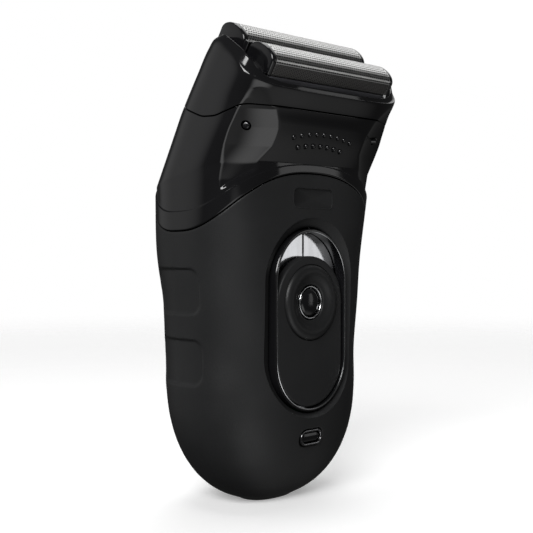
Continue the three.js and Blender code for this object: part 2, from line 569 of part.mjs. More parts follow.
// square leaf with a turned nub that presses on the cell
function contact(z, nub) {
  const leaf = box(mapZ, -4, 4, BATTERY_Y - 4, BATTERY_Y + 4, z, z + 0.6);
  return leaf.add(turned(nub, [0, BATTERY_Y, 0], [0, 0, 1], 16));
}
function buildInlet() {
  const trim = form(0.25, 1.0, 60, 40);
  let inlet = prism(rounded(5.7, 4.1, 2.0), mapZ, 0, 12.2, 0, INLET_Y).intersect(trim);
  inlet = inlet.subtract(prism(rounded(4.4, 2.75, 2.2), mapZ, -2, 10.6, 0, INLET_Y));
  for (const s of [-1, 1]) inlet = inlet.subtract(rod(0.95, [s * PIN_X, INLET_Y, 9], [0, 0, 1], 6, 12));
  add('charge_inlet', inlet, 'gloss_black');
  for (const [s, tag] of [[-1, 'left'], [1, 'right']]) {
    const pin = [[0, 8.6], [0.45, 8.6], [0.65, 9.0], [0.65, 12.0], [0, 12.0]];
    add(`inlet_pin_${tag}`, turned(pin, [s * PIN_X, INLET_Y, 0], [0, 0, 1], 12), 'brass');
  }
}

buildShell();
buildHead();
buildReleaseButtons();
buildFoils();
buildGuard();
buildCutters();
buildDrive();
buildSwitch();
buildIndicator();
buildCore();
buildInlet();

export default group;
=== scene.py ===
"""Looks of the foil shaver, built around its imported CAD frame."""

import math

import bmesh
import bpy
import numpy as np
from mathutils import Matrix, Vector


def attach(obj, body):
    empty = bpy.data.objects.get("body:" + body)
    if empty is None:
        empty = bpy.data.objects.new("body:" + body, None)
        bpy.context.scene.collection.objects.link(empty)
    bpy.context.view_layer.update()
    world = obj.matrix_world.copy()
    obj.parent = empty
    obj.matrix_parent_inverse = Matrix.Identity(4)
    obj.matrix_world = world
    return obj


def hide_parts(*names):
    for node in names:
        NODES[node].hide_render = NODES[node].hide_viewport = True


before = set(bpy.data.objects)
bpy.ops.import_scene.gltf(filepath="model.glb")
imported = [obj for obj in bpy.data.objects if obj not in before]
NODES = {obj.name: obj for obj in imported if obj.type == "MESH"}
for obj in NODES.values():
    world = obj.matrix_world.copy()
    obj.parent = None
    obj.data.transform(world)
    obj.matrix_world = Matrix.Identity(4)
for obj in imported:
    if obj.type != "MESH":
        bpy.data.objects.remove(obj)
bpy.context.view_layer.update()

# ---------------------------------------------------------------- driving sizes, mm
MM = 0.001
SHIFT = np.array([0.0, 1.31, -0.75])      # same offset as the CAD part
GAP = 0.3
WALL, HEAD_WALL = 1.8, 2.3
HEAD_TILT = math.radians(32.6)
HEAD_Y, HEAD_Z = -17.1, 113.3
CT, ST = math.cos(HEAD_TILT), math.sin(HEAD_TILT)
FOIL_PITCH, FOIL_HALF_W, FOIL_RISE, FOIL_SKIRT, FOIL_HALF_L = 11.0, 4.5, 2.6, 5.4, 20.6
CAP_T = 1.0
POCKET_X, POCKET_B = 22.4, 10.4
SLOT_Z, THUMB_Z, LED_Z = 46.5, 50.9, 17.6
LED_Y = -16.2
PIP = (23.6, -17.4, 92.3)
INLET_Y = 9.6
COVER_SCREWS = ((27, 20.05), (60, 21.9))
AROUND = 360                               # points round each large ring
TAU = 2 * math.pi
SMOOTH_ANGLE = 32.0                        # degrees; sharper edges stay crisp
EASE_STEPS = 5                             # points on each eased corner
BUMP_DEPTH = 0.0001                        # metres
PAD_HALF_Y, PAD_HALF_Z, PAD_CORNER, PAD_DEPTH = 9.0, 5.4, 2.6, 0.5
COVER_HALF_W, COVER_HALF_H, COVER_CORNER, COVER_Z = 15, 25.5, 7, 40.5
SLOT_HALF_W, SLOT_HALF_H = 13.2, 22.8
BADGE_HALF_W, BADGE_HALF_H, BADGE_CORNER, BADGE_Z = 6.9, 2.3, 1.2, 76.4
SLIDER_HALF_W, SLIDER_HALF_H, SLIDER_Z = 11.6, 18.6, 43.7
DOT_PITCH = 2.53
BUTTON_Y = -15.4


def head(x, b, n):
    """Head frame to handle frame: b runs to the back, n out of the foils."""
    x, b, n = np.broadcast_arrays(np.asarray(x, float), np.asarray(b, float), np.asarray(n, float))
    return np.stack([x, HEAD_Y + b * CT - n * ST, HEAD_Z + b * ST + n * CT], -1)


def hy(b, n):
    return HEAD_Y + b * CT - n * ST


def hz(b, n):
    return HEAD_Z + b * ST + n * CT


# ---------------------------------------------------------------- outer form (same rows as the CAD part)
def egg(s, p):
    s = min(max(s, 0.0), 1.0)
    return (1 - (1 - s) ** p) ** (1 / p)


def lower_rows():
    rows = []
    for z in (0.75, 1.1, 1.6, 2.5, 4, 7, 11, 16, 22, 29, 38):
        k = z - 0.32 + 0.3 * max(0, 1 - (z - 0.75) / 0.6)
        front = -17.4 * egg(k / 31.3, 2.27)
        back = 21.2 * egg(k / 41.6, 2.3)
        rows.append([z, front, z, back, z, 26.6 * egg(k / 30.2, 2.26), 2.5, 2.15])
    rows.append([51, -17.0, 51, 22.2, 51, 27.3, 2.9, 2.0])
    rows.append([64, -17.0, 64, 22.0, 64, 28.2, 3.1, 2.35])
    rows.append([78, -17.0, 84.7, 21.0, 77.5, 29.3, 4.2, 2.35])
    return np.array(rows)


def upper_rows():
    return np.array([
        [78, -17.0, 84.7, 21.0, 77.5, 29.3, 4.2, 2.35],
        [85, -19.4, 89.2, hy(12.9, -32), hz(12.9, -32), 29.0, 4.3, 2.6],
        [92, -21.0, 93, hy(12.9, -24), hz(12.9, -24), 28.5, 4.3, 2.8],
        [98, -22.6, 97, hy(12.9, -15), hz(12.9, -15), 28.2, 4.2, 2.75],
        [103, -24.9, 100.6, hy(12.8, -8.5), hz(12.8, -8.5), 27.8, 4.0, 2.8],
        [105, hy(-12.75, -7.2), hz(-12.75, -7.2), hy(12.4, -5.8), hz(12.4, -5.8), 27.3, 3.9, 2.8],
        [106.3, hy(-12.2, -6.4), hz(-12.2, -6.4), hy(11.6, -4.9), hz(11.6, -4.9), 26.2, 3.8, 2.8],
    ])


LOW, UP = lower_rows(), upper_rows()
T_LOW, T_KINK, T_TOP = 0.75, 78.0, 106.3


def hermite(rows, col, t):
    keys, vals = rows[:, 0], rows[:, col]
    h = np.diff(keys)
    d = np.diff(vals) / h
    m = np.empty(len(keys))
    m[1:-1] = (h[1:] * d[:-1] + h[:-1] * d[1:]) / (h[1:] + h[:-1])
    m[0], m[-1] = d[0], d[-1]
    i = np.clip(np.searchsorted(keys, t) - 1, 0, len(keys) - 2)
    u = (t - keys[i]) / h[i]
    return (vals[i] * (2 * u**3 - 3 * u**2 + 1) + h[i] * m[i] * (u**3 - 2 * u**2 + u)
            + vals[i + 1] * (3 * u**2 - 2 * u**3) + h[i] * m[i + 1] * (u**3 - u**2))


def section(t):
    t = np.asarray(t, float)
    below, above = np.minimum(t, T_KINK), np.maximum(t, T_KINK)
    return [np.where(t <= T_KINK, hermite(LOW, c, below), hermite(UP, c, above)) for c in range(1, 8)]


def skin(t, phi, inset=0.0):
    y_f, z_f, y_b, z_b, a, n_f, n_b = section(t)
    c, s = np.cos(phi), np.sin(phi)
    n = np.where(s < 0, n_f, n_b)
    length = np.hypot(y_b - y_f, z_b - z_f)
    e = np.sign(s) * np.abs(s) ** (2 / n) * (length - 2 * inset) / length
    lift = 3.3 * np.abs(c) ** 6 * np.clip((t - 98) / 8.3, 0, 1) ** 2
    x = (a - inset) * np.sign(c) * np.abs(c) ** (2 / n)
    return np.stack([x, (y_f + y_b) / 2 + e * (y_b - y_f) / 2 - lift * ST,
                     (z_f + z_b) / 2 + e * (z_b - z_f) / 2 + lift * CT], -1)


def even_angles(count):
    """Ring angles that space points evenly round a typical section."""
    n_front, n_back, a, b = 2.9, 2.3, 28.0, 19.0
    phi = np.linspace(0, TAU, 40001)
    c, s = np.cos(phi), np.sin(phi)
    n = np.where(s < 0, n_front, n_back)
    x, y = a * np.sign(c) * np.abs(c) ** (2 / n), b * np.sign(s) * np.abs(s) ** (2 / n)
    run = np.concatenate([[0], np.cumsum(np.hypot(np.diff(x), np.diff(y)))])
    return np.interp((np.arange(count) + 0.5) / count * run[-1], run, phi)


PHI = even_angles(AROUND)


def arch_z(x):
    return 63.6 + 18.7 * np.maximum(0, 1 - np.minimum(np.abs(x) / 29.6, 1) ** 2.3) ** 0.575


def ledge_rise(x):
    return 2.4 + 3 * (np.abs(x) / 28) ** 3


FRAME_SEAM = np.array([[-40, 96.3], [-24, 96.4], [-19.5, 96.8], [-16, 95.4], [-12.5, 94.3], [-8, 94.5],
                       [2.7, 98.6], [14, 104], [30, 111]])


def frame_seam_z(y):
    """The seam between head housing and foil frame, its corners eased a little."""
    wide = 0.5
    return sum(np.interp(y + k * wide, FRAME_SEAM[:, 0], FRAME_SEAM[:, 1]) for k in (-2, -1, 0, 1, 2)) / 5


def key_where(level, lo=55.0):
    """Loft key at which the skin crosses z = level(point), for each ring angle."""
    lo, hi = np.full(AROUND, lo), np.full(AROUND, T_TOP)
    for _ in range(34):
        mid = (lo + hi) / 2
        p = skin(mid, PHI)
        above = p[:, 2] > level(p)
        hi, lo = np.where(above, mid, hi), np.where(above, lo, mid)
    return (lo + hi) / 2


# ---------------------------------------------------------------- mesh kit
def new_object(name, verts, faces, smooth=SMOOTH_ANGLE, indices=None):
    me = bpy.data.meshes.new(name)
    me.from_pydata(((np.asarray(verts, float).reshape(-1, 3) + SHIFT) * MM).tolist(), [], faces)
    me.update()
    if indices is not None:
        me.polygons.foreach_set("material_index", indices)
    ob = bpy.data.objects.new(name, me)
    bpy.context.scene.collection.objects.link(ob)
    face_out(ob)
    shade(ob, smooth)
    return ob


def face_out(ob):
    bm = bmesh.new()
    bm.from_mesh(ob.data)
    bmesh.ops.recalc_face_normals(bm, faces=bm.faces)
    bm.to_mesh(ob.data)
    bm.free()


def shade(ob, angle):
    me = ob.data
    me.polygons.foreach_set("use_smooth", [True] * len(me.polygons))
    me.set_sharp_from_angle(angle=math.radians(angle))


def grid_faces(rows, cols, wrap_rows=False):
    """Quads between rings of cols points, each ring closed on itself."""
    faces = []
    for i in range(rows if wrap_rows else rows - 1):
        a, b = i * cols, ((i + 1) % rows) * cols
        faces += [(a + j, a + (j + 1) % cols, b + (j + 1) % cols, b + j) for j in range(cols)]
    return faces


def ring_stack(name, rings, loop=False, smooth=SMOOTH_ANGLE):
    """Closed solid through rings: capped by fans at both ends, or joined end to end."""
    rings = np.asarray(rings, float)
    rows, cols = rings.shape[:2]
    verts = rings.reshape(-1, 3)
    faces = grid_faces(rows, cols, wrap_rows=loop)
    if not loop:
        for k, row in enumerate((0, rows - 1)):
            verts = np.vstack([verts, rings[row].mean(0)])
            c, a = len(verts) - 1, row * cols
            edges = [(a + j, a + (j + 1) % cols) for j in range(cols)]
            faces += [(c, q, p) if k == 0 else (c, p, q) for p, q in edges]
    return new_object(name, verts, faces, smooth)


def cut(ob, cutter, mode="DIFFERENCE"):
    mod = ob.modifiers.new("cut", "BOOLEAN")
    mod.operation = mode
    mod.solver = "MANIFOLD"
    mod.object = cutter
    bpy.context.view_layer.update()
    deps = bpy.context.evaluated_depsgraph_get()
    made = bpy.data.meshes.new_from_object(ob.evaluated_get(deps))
    ob.modifiers.clear()
    old, ob.data = ob.data, made
    bpy.data.meshes.remove(old)
    shade(ob, SMOOTH_ANGLE)
    bpy.data.objects.remove(cutter)
    return ob


def copy_of(ob, name):
    twin = ob.copy()
    twin.data = ob.data.copy()
    twin.name = name
    bpy.context.scene.collection.objects.link(twin)
    return twin


def rounded(w, h, r, k=12):
    pts = []
    for sx, sy, a0 in ((1, 1, 0), (-1, 1, 90), (-1, -1, 180), (1, -1, 270)):
        for i in range(k + 1):
            a = math.radians(a0 + 90 * i / k)
            pts.append((sx * (w - r) + r * math.cos(a), sy * (h - r) + r * math.sin(a)))
    return np.array(pts)


def pill(w, h, k=24):
    """Stadium outline with its straight sides subdivided."""
    r = min(w, h) - 0.005
    pts = rounded(w, h, r, k)
    out = []
    for i, p in enumerate(pts):
        q = pts[(i + 1) % len(pts)]
        out.append(p)
        gap = np.hypot(*(q - p))
        if gap > 3:
            out += [p + (q - p) * j / 12 for j in range(1, 12)]
    return np.array(out)


def on_y(pts, y, dx=0.0, dz=0.0):
    pts = np.asarray(pts)
    return np.stack([pts[:, 0] + dx, np.broadcast_to(y, len(pts)), pts[:, 1] + dz], -1)


def on_z(pts, z, dx=0.0, dy=0.0):
    pts = np.asarray(pts)
    return np.stack([pts[:, 0] + dx, pts[:, 1] + dy, np.broadcast_to(z, len(pts))], -1)


def lathe(name, profile, origin, axis, seg=96, smooth=SMOOTH_ANGLE):
    """Turned piece: profile of (radius, station); a profile that starts and ends on the axis closes there."""
    axis = Vector(axis).normalized()
    u = axis.orthogonal().normalized()
    v = axis.cross(u)
    o, ax, u, v = (np.array(q, float) for q in (origin, axis, u, v))
    ang = np.arange(seg) / seg * TAU
    spokes = np.cos(ang)[:, None] * u + np.sin(ang)[:, None] * v
    on_axis = profile[0][0] == 0
    rings = [o + ax * s + spokes * max(r, 1e-4) for r, s in profile]
    return ring_stack(name, rings, loop=not on_axis, smooth=smooth)


def eased(points, radius=0.25):
    """Rounds the corners of an open (radius, station) polyline."""
    pts = [np.array(p, float) for p in points]
    out = [pts[0]]
    for a, b, c in zip(pts, pts[1:], pts[2:]):
        ra = min(radius, 0.45 * np.linalg.norm(a - b))
        rc = min(radius, 0.45 * np.linalg.norm(c - b))
        p, q = b + (a - b) / np.linalg.norm(a - b) * ra, b + (c - b) / np.linalg.norm(c - b) * rc
        for i in range(EASE_STEPS + 1):
            t = i / EASE_STEPS
            out.append((1 - t) ** 2 * p + 2 * t * (1 - t) * b + t * t * q)
    out.append(pts[-1])
    return [(float(r), float(s)) for r, s in out]


def front_y(x, z):
    """Handle surface at (x, z) on the switch side."""
    y_f, _, y_b, _, a, n_f, _ = section(np.minimum(z, 66))
    e = np.maximum(0, 1 - (np.abs(x) / a) ** n_f) ** (1 / n_f)
    return (y_f + y_b) / 2 - e * (y_b - y_f) / 2


def on_front(x, z):
    """Point of the head's front surface at (x, z), found by bisection on the loft key."""
    lo, hi = 60.0, 104.0
    for _ in range(40):
        mid = (lo + hi) / 2
        _, _, _, _, a, n_f, _ = section(mid)
        phi = -math.acos(min(1, (abs(x) / a) ** (n_f / 2)))
        p = skin(mid, phi)
        lo, hi = (lo, mid) if p[2] > z else (mid, hi)
    return np.array([math.copysign(p[0], x), p[1], p[2]])


def smoothstep(v):
    v = np.clip(v, 0, 1)
    return v * v * (3 - 2 * v)


def box_distance(u, v, half_u, half_v, r):
    qu, qv = np.abs(u) - half_u + r, np.abs(v) - half_v + r
    return np.hypot(np.maximum(qu, 0), np.maximum(qv, 0)) + np.minimum(np.maximum(qu, qv), 0) - r


def finish_piece(ob, body, nodes, slot, *mats):
    indices = [0] * len(ob.data.polygons)
    if len(mats) > 1:
        ob.data.polygons.foreach_get("material_index", indices)
    ob.data.materials.clear()
    for m in mats:
        ob.data.materials.append(m)
    ob.data.polygons.foreach_set("material_index", indices)
    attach(ob, body)
    if nodes:
        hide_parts(*nodes)
    return ob


# ---------------------------------------------------------------- materials
def shader(name):
    mat = bpy.data.materials.new(name)
    mat.use_nodes = True
    tree = mat.node_tree
    return mat, tree, tree.nodes["Principled BSDF"]


def noise(tree, scale, detail=3.0, stretch=(1, 1, 1)):
    coord = tree.nodes.new("ShaderNodeTexCoord")
    mapping = tree.nodes.new("ShaderNodeMapping")
    mapping.inputs["Scale"].default_value = stretch
    tex = tree.nodes.new("ShaderNodeTexNoise")
    tex.inputs["Scale"].default_value = scale
    tex.inputs["Detail"].default_value = detail
    tex.inputs["Roughness"].default_value = 0.5
    tree.links.new(coord.outputs["Object"], mapping.inputs["Vector"])
    tree.links.new(mapping.outputs["Vector"], tex.inputs["Vector"])
    return tex


def ramp(tree, source, lo, hi, low, high):
    node = tree.nodes.new("ShaderNodeMapRange")
    node.inputs["From Min"].default_value = lo
    node.inputs["From Max"].default_value = hi
    node.inputs["To Min"].default_value = low
    node.inputs["To Max"].default_value = high
    tree.links.new(source, node.inputs["Value"])
    return node.outputs["Result"]


def tint(tree, factor, dark, light):
    node = tree.nodes.new("ShaderNodeMix")
    node.data_type = "RGBA"
    node.inputs["A"].default_value = (*dark, 1)
    node.inputs["B"].default_value = (*light, 1)
    tree.links.new(factor, node.inputs["Factor"])
    return node.outputs["Result"]


def bump(tree, bsdf, height, strength):
    node = tree.nodes.new("ShaderNodeBump")
    node.inputs["Strength"].default_value = strength
    node.inputs["Distance"].default_value = BUMP_DEPTH
    tree.links.new(height, node.inputs["Height"])
    tree.links.new(node.outputs["Normal"], bsdf.inputs["Normal"])


def surface(name, dark, light, rough, metal=0.0, cloud=60.0, grain=1800.0, bump_strength=0.1, coat=0.0,
            stretch=(1, 1, 1), specular=0.5):
    """Plastic or metal with clouded colour, uneven roughness and a fine grain."""
    mat, tree, bsdf = shader(name)
    clouds = noise(tree, cloud, 4.0)
    fine = noise(tree, grain, 3.0, stretch)
    shade_of = ramp(tree, clouds.outputs["Fac"], 0.35, 0.65, 0, 1)
    tree.links.new(tint(tree, shade_of, dark, light), bsdf.inputs["Base Color"])
    tree.links.new(ramp(tree, fine.outputs["Fac"], 0.3, 0.7, rough[0], rough[1]), bsdf.inputs["Roughness"])
    bsdf.inputs["Metallic"].default_value = metal
    bsdf.inputs["Specular IOR Level"].default_value = specular
    bsdf.inputs["Coat Weight"].default_value = coat
    bsdf.inputs["Coat Roughness"].default_value = 0.05
    if bump_strength:
        bump(tree, bsdf, fine.outputs["Fac"], bump_strength)
    return mat


MATS = {
    "soft_touch": surface("soft_touch_charcoal", (0.0145, 0.0148, 0.0153), (0.018, 0.0183, 0.0189),
                          (0.42, 0.52), grain=2600.0, bump_strength=0.2, specular=0.26),
    "smoke": surface("smoke_gloss", (0.006, 0.006, 0.0065), (0.009, 0.009, 0.0098), (0.06, 0.1),
                     cloud=40.0, grain=300.0, bump_strength=0.0),
    "gloss": surface("black_gloss", (0.005, 0.005, 0.0055), (0.008, 0.008, 0.009), (0.1, 0.16),
                     grain=600.0, bump_strength=0.0),
    "rubber": surface("soft_ring", (0.012, 0.0123, 0.0127), (0.015, 0.0153, 0.0158), (0.36, 0.46),
                      grain=2600.0, bump_strength=0.18, specular=0.3),
    "foil": surface("foil_steel", (0.52, 0.52, 0.515), (0.6, 0.6, 0.59), (0.26, 0.32), metal=1.0,
                    grain=900.0, bump_strength=0.0, stretch=(0.15, 1, 1)),
    # Same foil steel as the arch, made darker: painted shade on the aprons, which turn away from the lights
    "apron": surface("foil_apron_painted_shade", (0.16, 0.155, 0.15), (0.22, 0.215, 0.21), (0.3, 0.36), metal=1.0,
                     grain=900.0, bump_strength=0.0, stretch=(0.15, 1, 1)),
    # Near-black look for the slot floors and inner skin: painted shadow inside the foil
    "slot_shadow": surface("foil_shadow", (0.008, 0.008, 0.008), (0.014, 0.014, 0.014), (0.5, 0.6), grain=900.0),
    # Bright metal for the lock rim, and for the bezel glint, where it is a painted highlight
    "chrome": surface("bright_edge", (0.6, 0.61, 0.62), (0.7, 0.71, 0.72), (0.1, 0.2), metal=1.0,
                      grain=700.0, bump_strength=0.0),
    "trim": surface("dim_trim", (0.2, 0.2, 0.205), (0.27, 0.27, 0.275), (0.18, 0.26), metal=1.0,
                    grain=700.0, bump_strength=0.0),
    "satin": surface("track_satin", (0.72, 0.73, 0.75), (0.8, 0.81, 0.83), (0.12, 0.18), metal=1.0,
                     grain=900.0, bump_strength=0.04, stretch=(1, 1, 0.1)),
    "steel": surface("spring_steel", (0.4, 0.41, 0.42), (0.55, 0.56, 0.57), (0.22, 0.34), metal=1.0,
                     grain=900.0),
    "brass": surface("contact_brass", (0.55, 0.4, 0.16), (0.7, 0.52, 0.24), (0.2, 0.32), metal=1.0,
                     grain=900.0),
    "frame_plastic": surface("moulded_plastic", (0.05, 0.05, 0.056), (0.08, 0.08, 0.09), (0.45, 0.6),
                             grain=1500.0),
    "board": surface("board_lacquer", (0.02, 0.12, 0.05), (0.04, 0.2, 0.08), (0.25, 0.4),
                     cloud=300.0, grain=900.0),
    "wrap": surface("battery_wrap", (0.04, 0.12, 0.24), (0.06, 0.17, 0.32), (0.2, 0.3), grain=700.0, coat=0.3),
    "lamp": surface("lamp_lens", (0.5, 0.72, 0.52), (0.62, 0.82, 0.64), (0.1, 0.2), grain=700.0),
}


# ---------------------------------------------------------------- handle
PADS = ((4.2, 53.9), (4.2, 36.9))


def shell_inset(p):
    """Depth of the finger pads at surface points."""
    depth = np.zeros(p.shape[:-1])
    for y0, z0 in PADS:
        d = box_distance(p[..., 1] - y0, p[..., 2] - z0, PAD_HALF_Y, PAD_HALF_Z, PAD_CORNER)
        depth = np.maximum(depth, PAD_DEPTH * smoothstep(-d / 0.7 + 0.5))
    return depth * (np.abs(p[..., 0]) > 12)


def handle_solid(name):
    top = key_where(lambda p: arch_z(p[:, 0]))
    rim = 0.28
    rings = []
    spread = np.concatenate([np.linspace(0, 1, 30)[:-1] ** 1.7 * 0.12, np.linspace(0.12, 1, 190)])
    outer_end = top - rim
    for s in spread:
        t = T_LOW + (outer_end - T_LOW) * s
        rings.append(skin(t, PHI, shell_inset(skin(t, PHI))))
    for a in np.radians([25, 50, 75, 90]):
        rings.append(skin(outer_end + rim * math.sin(a), PHI, rim * (1 - math.cos(a))))
    rings.append(skin(top, PHI, WALL - 0.1))
    rings.append(skin(top - 0.1, PHI, WALL))
    for s in np.linspace(0.985, 0, 46):
        rings.append(skin(3.2 + (top - 3.2) * s, PHI, WALL))
    return ring_stack(name, rings)


def dish_cutter():
    """Sloping rim of the switch recess, following the handle's surface, then its opening."""
    rings = []
    profile = [(-0.5, -1.6), (-0.16, -0.32), (-0.05, -0.06), (0.0, 0.03), (0.06, 0.14), (0.16, 0.36),
               (0.5, 0.86), (0.84, 1.34), (0.93, 1.52), (0.98, 1.74), (1.0, 2.0)]
    for f, depth in profile:
        w, h, zc = 15.5 - 2.3 * f, 24.6 - 1.8 * f, 47.1 - 0.6 * f
        pts = pill(w, h)
        rings.append(on_y(pts, front_y(pts[:, 0], pts[:, 1] + zc) + depth, 0, zc))
    rings.append(on_y(pill(SLOT_HALF_W, SLOT_HALF_H), -9.0, 0, SLOT_Z))
    return ring_stack("cutter", rings)


def front_pocket(w, h, r, zc, depth, ease=0.14, through=False):
    rings = []
    for grow, d in ((0.5, -1.0), (ease, -0.02), (ease * 0.35, 0.05), (0.0, ease)):
        pts = rounded(w + grow, h + grow, min(r + grow, h + grow - 0.005))
        rings.append(on_y(pts, front_y(pts[:, 0], pts[:, 1] + zc) + d, 0, zc))
    pts = rounded(w, h, r)
    if through:
        rings.append(on_y(pts, -9.0, 0, zc))
    else:
        rings.append(on_y(pts, front_y(pts[:, 0], pts[:, 1] + zc) + depth - 0.05, 0, zc))
        inner = rounded(w - 0.08, h - 0.08, r - 0.08)
        rings.append(on_y(inner, front_y(inner[:, 0], inner[:, 1] + zc) + depth, 0, zc))
    return ring_stack("cutter", rings)


def prism_y(pts, y0, y1, zc):
    return ring_stack("cutter", [on_y(pts, y0, 0, zc), on_y(pts, y1, 0, zc)])


def rod(r, origin, axis, length, seg=64):
    return lathe("cutter", [(0, 0), (r, 0), (r, length), (0, length)], origin, axis, seg)


def cover_block(shrink):
    outline = rounded(COVER_HALF_W - shrink, COVER_HALF_H - shrink, COVER_CORNER, 16)
    return prism_y(outline, 10, 40, COVER_Z)


def build_handle():
    blank = handle_solid("handle_skin")
    cover = copy_of(blank, "rear_cover_skin")
    cut(blank, dish_cutter())
    cut(blank, front_pocket(4.2, 2.2, 2.195, LED_Z, 0, 0.2, through=True))
    cut(blank, front_pocket(BADGE_HALF_W, BADGE_HALF_H, BADGE_CORNER, BADGE_Z, 0.3))
    cut(blank, ring_stack("cutter", [on_z(rounded(6.0, 4.4, 2.2), z, 0, INLET_Y) for z in (-5, 14)]))
    cut(blank, cover_block(0))
    finish_piece(blank, "handle", ["body_shell"], "soft_touch", MATS["soft_touch"])
    cut(cover, cover_block(GAP), "INTERSECT")
    for z, y in COVER_SCREWS:
        cut(cover, rod(1.4, (0, y - 8, z), (0, 1, 0), 20))
        cut(cover, rod(2.4, (0, y - 0.9, z), (0, 1, 0), 20))
    finish_piece(cover, "handle", ["rear_cover"], "soft_touch", MATS["soft_touch"])
    for i, (z, y) in enumerate(COVER_SCREWS):
        profile = [(0, -5), (1.05, -5), (1.05, -0.55), (1.95, -0.55)]
        profile += eased([(2.05, -0.5), (2.05, 0), (1.7, 0.2), (0, 0.2)], 0.15)
        screw = lathe(f"cover_screw_head_{i + 1}", profile, (0, y - 0.1, z), (0, 1, 0), 64)
        slot_pts = rounded(1.6, 0.25, 0.1, 4)
        cut(screw, prism_y(slot_pts, y - 0.3, y + 2, z))
        finish_piece(screw, "handle", [f"cover_screw_{i + 1}"], "spring_steel", MATS["steel"])


# ---------------------------------------------------------------- gloss head
SCOOP_N = np.array([-0.505, -0.863])
SCOOP_T = np.array([-0.863, 0.505])
SCOOP_R = 30.0
PIP_R = 0.85
SCOOP_KEYS = np.array([[74, 22.6, 13.5], [80, 22.8, 11.6], [84, 22.95, 8.5], [88, 23.7, 5.4], [92, 25.4, 4.4],
                       [96, 27.6, 4.8], [98, 29.2, 6.0], [100, 31.0, 9.0], [102, 33.5, 10.0]])


def scoop(p, deeper=0.0):
    """Presses the two front corners back onto their hollow-ground facets."""
    p = p.copy()
    z = p[..., 2]
    base = np.interp(z, SCOOP_KEYS[:, 0], SCOOP_KEYS[:, 1])
    side_off = np.interp(z, SCOOP_KEYS[:, 0], SCOOP_KEYS[:, 2])
    shelf = arch_z(p[..., 0]) + ledge_rise(p[..., 0]) + 0.6
    for side in (-1, 1):
        xy = np.stack([-side * p[..., 0], p[..., 1]], -1)
        dist = xy @ SCOOP_N
        across = xy @ SCOOP_T - side_off
        facet = base + SCOOP_R - np.sqrt(np.maximum(SCOOP_R**2 - across**2, 1.0)) - deeper
        press = dist - facet
        soft = 0.22
        press = np.where(press > soft, press, np.where(press > -soft, (press + soft) ** 2 / (4 * soft), 0.0))
        press = press * smoothstep((z - shelf) / 0.9) * (np.abs(across) < 20)
        move = SCOOP_N * press[..., None]
        p[..., 0] -= move[..., 0] * -side
        p[..., 1] -= move[..., 1]
    return p


def build_housing():
    low = key_where(lambda p: arch_z(p[:, 0]) + GAP)
    ledge = key_where(lambda p: arch_z(p[:, 0]) + ledge_rise(p[:, 0]))
    top = key_where(lambda p: frame_seam_z(p[:, 1]), lo=75.0)
    rim, step = 0.22, 0.35
    rings = [skin(low, PHI, HEAD_WALL), skin(low, PHI, rim)]
    for a in np.radians([30, 60, 90]):
        rings.append(skin(low + rim * (1 - math.cos(a)), PHI, rim * (1 - math.sin(a))))
    for s in np.linspace(0, 1, 14)[1:-1]:
        rings.append(skin(low + rim + (ledge - 0.3 - low - rim) * s, PHI, 0.0))
    for s in np.linspace(0, 1, 9):
        inset = step * smoothstep(s * 1.6 - 0.3)
        rings.append(skin(ledge - 0.3 + 0.45 * s, PHI, inset))
    end = top - 0.12
    for s in np.linspace(0, 1, 110)[1:]:
        t = ledge + 0.15 + (end - ledge - 0.15) * s
        fade = step * (1 - smoothstep(s * 1.15))
        rings.append(scoop(skin(t, PHI, fade)))
    for a in np.radians([30, 60, 90]):
        rings.append(scoop(skin(end + 0.12 * math.sin(a), PHI, 0.12 * (1 - math.cos(a)))))
    for s in np.linspace(1, 0, 50):
        rings.append(scoop(skin(low + (top - low) * s, PHI, HEAD_WALL), 1.7))
    housing = ring_stack("head_skin", rings, loop=True)
    for side in (-1, 1):
        d = np.array([0.8 * side, -0.6, 0])
        tip = np.array([side * PIP[0], PIP[1], PIP[2]])
        cut(housing, rod(PIP_R + 0.22, tip - 9 * d, d, 11))
        cut(housing, rod(2.5, tip - 10 * d, d, 6))
    finish_piece(housing, "handle", ["head_housing"], "smoke_gloss", MATS["smoke"])
    dots = []
    for count, z in ((9, 91.7), (7, 89.0)):
        for i in range(count):
            x = (i - (count - 1) / 2) * DOT_PITCH
            dots.append(on_front(x, z - 0.012 * x * x))
    dome = [(0, -0.6), (0.62, -0.6), (0.62, 0.0), (0.58, 0.18), (0.46, 0.36), (0.26, 0.47), (0, 0.5)]
    for i, p in enumerate(dots):
        dot = lathe(f"grip_dot_{i + 1}", dome, p + np.array([0, 0.12, 0]), (0, -1, 0.15), 24, 60)
        finish_piece(dot, "handle", [], "smoke_gloss", MATS["smoke"])
    for side, tag in ((-1, "left"), (1, "right")):
        profile = [(0, -5.0), (2.1, -5.0), (2.1, -4.3), (PIP_R, -4.3)]
        profile += eased([(PIP_R, -4.0), (PIP_R, -0.2), (0.6, -0.02), (0, 0)], 0.25)
        pip = lathe(f"release_pip_{tag}", profile, (side * PIP[0], PIP[1], PIP[2]), (0.8 * side, -0.6, 0), 48)
        finish_piece(pip, f"release_{tag}", [f"release_button_{tag}"], "gloss_black", MATS["gloss"])


def rect_ring(points, half_x, half_b, n):
    """Soft-cornered rectangle in the head frame, one point on the ray through each given ring point."""
    rel = points - np.array([0, HEAD_Y, HEAD_Z])
    x, b = rel[:, 0], rel[:, 1] * CT + rel[:, 2] * ST
    ang = np.arctan2(b / half_b, x / half_x)
    c, s = np.cos(ang), np.sin(ang)
    k = 12.0
    rad = (np.abs(c) ** k + np.abs(s) ** k) ** (-1 / k)
    return head(half_x * rad * c, half_b * rad * s, n)


